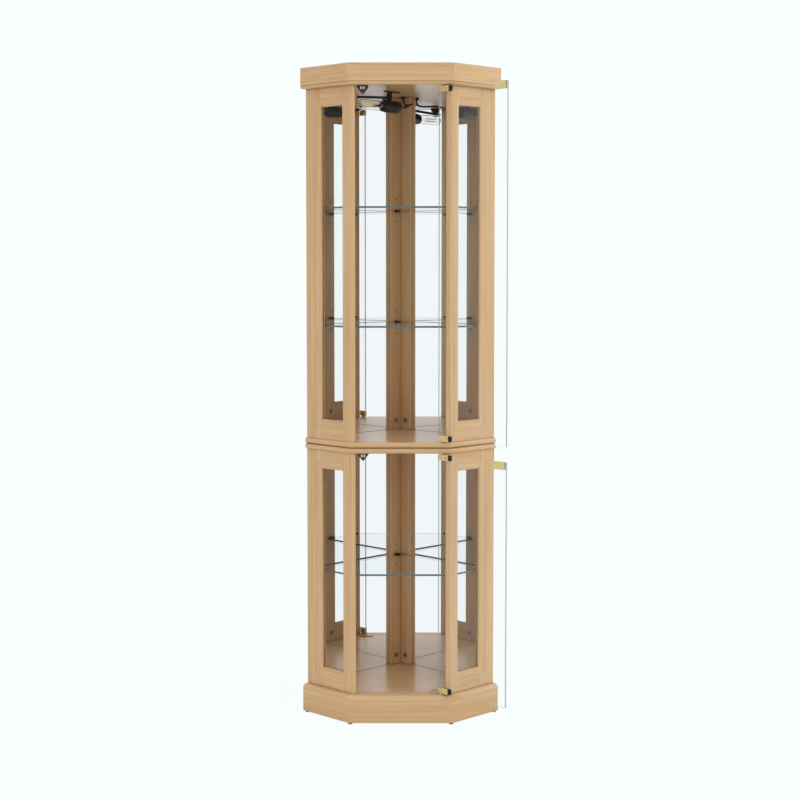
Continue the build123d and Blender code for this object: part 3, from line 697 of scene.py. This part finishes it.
# Painted shade at the mirrors' feet: dark strips standing in for the shadow gap where each mirror
# meets the floor

MIRROR_THICK = 0.003
# Height and standing-off of the painted shade strips
SHADE_STRIP_HEIGHT = 0.0005
SHADE_STRIP_PROUD = 0.0004


def block(name, corner, opposite, place, material, body):
    """A small rectangular piece between two opposite corners in its own place"""
    low = Vector(corner)
    high = Vector(opposite)
    shape = bmesh.new()
    bmesh.ops.create_cube(shape, size=1)
    size = high - low
    fit = Matrix.Translation((low + high) / 2) @ Matrix.Diagonal((*size, 1))
    shape.transform(place @ fit)
    bmesh.ops.recalc_face_normals(shape, faces=shape.faces)
    mesh = bpy.data.meshes.new(name)
    shape.to_mesh(mesh)
    shape.free()
    return add_piece(name, mesh, material, body, smooth=False)


def make_foot_shade_strips():
    """Dark strips of painted shade where each mirror meets the floor, standing in for the shadow
    gap there
    """
    step = MIRROR_THICK / sqrt(2)
    for unit in ("lower", "upper"):
        low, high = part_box(f"{unit}_mirror_right")
        near = Vector((high.x - step, low.y, low.z))
        far = Vector((low.x, high.y - step, low.z))
        run = far - near
        for side, flip in (("right", 1), ("left", -1)):
            start = Vector((flip * near.x, near.y, near.z))
            turn = atan2(run.y, flip * run.x)
            place = Matrix.Translation(start) @ Matrix.Rotation(turn, 4, "Z")
            inner = flip * SHADE_STRIP_PROUD
            # Painted shade: a dark strip laid along the foot of the mirror
            block(f"{unit}_mirror_shade_strip_{side}", (0, min(0, inner), 0),
                  (run.length, max(0, inner), SHADE_STRIP_HEIGHT), place, back_board, "cabinet")


# Screws in the doors' clamps and the pivot plate, and pole plates on the latches

PIVOT = (0.1116, 0.0035)
CLAMP_HALF = 0.0045
CLAMP_MIDDLE = 0.01055
CLAMP_SCREW = 0.019
SCREW_RADIUS = 0.0021
PLATE_SCREW_RADIUS = 0.0026
PLATE_SCREWS = ((0.0905, 0.011), (0.0905, 0.040))
SCREW_OUTLINE = [(-0.0004, 0), (-0.0004, 1), (0.0002, 1), (0.0004, 0.86), (0.0005, 0.45),
                 (0.0001, 0.36), (0.0001, 0)]
POLE_WIDTH = 0.0042
POLE_HEIGHT = 0.0071
POLE_OFFSET = 0.0036
POLE_PROUD = 0.0002

pivot_place = Vector((PIVOT[0], front_y + PIVOT[1], 0))
door_turn = Matrix.Rotation(DOOR_TURN, 4, "Z")


def screw(name, place, radius, material, body):
    """A small round screw head with a shallow round dip in its middle, standing a hair proud along
    the local Z axis
    """
    profile = [(along, radius * share) for along, share in SCREW_OUTLINE]
    add_piece(name, lathe(name, profile, place, 24), material, body)


def make_screws():
    """A grub screw in each clamp and two screws in the pivot plate"""
    out = door_turn @ Matrix.Rotation(pi / 2, 4, "X")
    levels = {}
    for unit in ("lower", "upper"):
        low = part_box(f"{unit}_corner_post")[0].z
        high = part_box(f"{unit}_corner_post")[1].z
        levels[unit] = (low + CLAMP_MIDDLE, high - CLAMP_MIDDLE)
    for unit, (low, high) in levels.items():
        for end, level in (("low", low), ("high", high)):
            spot = pivot_place + door_turn @ Vector((CLAMP_SCREW, -CLAMP_HALF, level))
            screw(f"{unit}_clamp_screw_{end}", Matrix.Translation(spot) @ out, SCREW_RADIUS, zinc,
                  f"{unit}_door")
    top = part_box("pivot_plate")[1].z
    for number, (x, y) in enumerate(PLATE_SCREWS, 1):
        spot = Matrix.Translation((x, front_y + y, top))
        screw(f"plate_screw_{number}", spot, PLATE_SCREW_RADIUS, brass, "cabinet")


def make_poles():
    """Two steel pole plates on the face of each latch's magnet"""
    for unit in ("lower", "upper"):
        low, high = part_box(f"{unit}_latch_head")
        middle = (low + high) / 2
        for side, shift in (("left", -POLE_OFFSET), ("right", POLE_OFFSET)):
            x = middle.x + shift
            block(f"{unit}_latch_pole_{side}",
                  (x - POLE_WIDTH / 2, low.y - POLE_PROUD, middle.z - POLE_HEIGHT / 2),
                  (x + POLE_WIDTH / 2, low.y + POLE_PROUD, middle.z + POLE_HEIGHT / 2),
                  Matrix.Identity(4), steel, f"{unit}_latch")


WOOD_EDGE = 0.0006
WOOD_EDGE_ANGLE = radians(40)
WELD_REACH = 0.00001


def soften_wood():
    """Fine rounded edges on the wooden pieces"""
    for name, node in nodes.items():
        if slot_names[name] != "oak":
            continue
        weld = node.modifiers.new("weld", "WELD")
        weld.merge_threshold = WELD_REACH
        bevel = node.modifiers.new("edges", "BEVEL")
        bevel.width = WOOD_EDGE
        bevel.segments = 2
        bevel.limit_method = "ANGLE"
        bevel.angle_limit = WOOD_EDGE_ANGLE
        bevel.harden_normals = True


add_camera()
surroundings()
lamp("key", KEY_PLACE, KEY_POWER)
lamp("fill", FILL_PLACE, FILL_POWER)
floor_sheet()
make_socket()
make_bulb()
make_lead()
make_foot_shade_strips()
make_screws()
make_poles()
soften_wood()
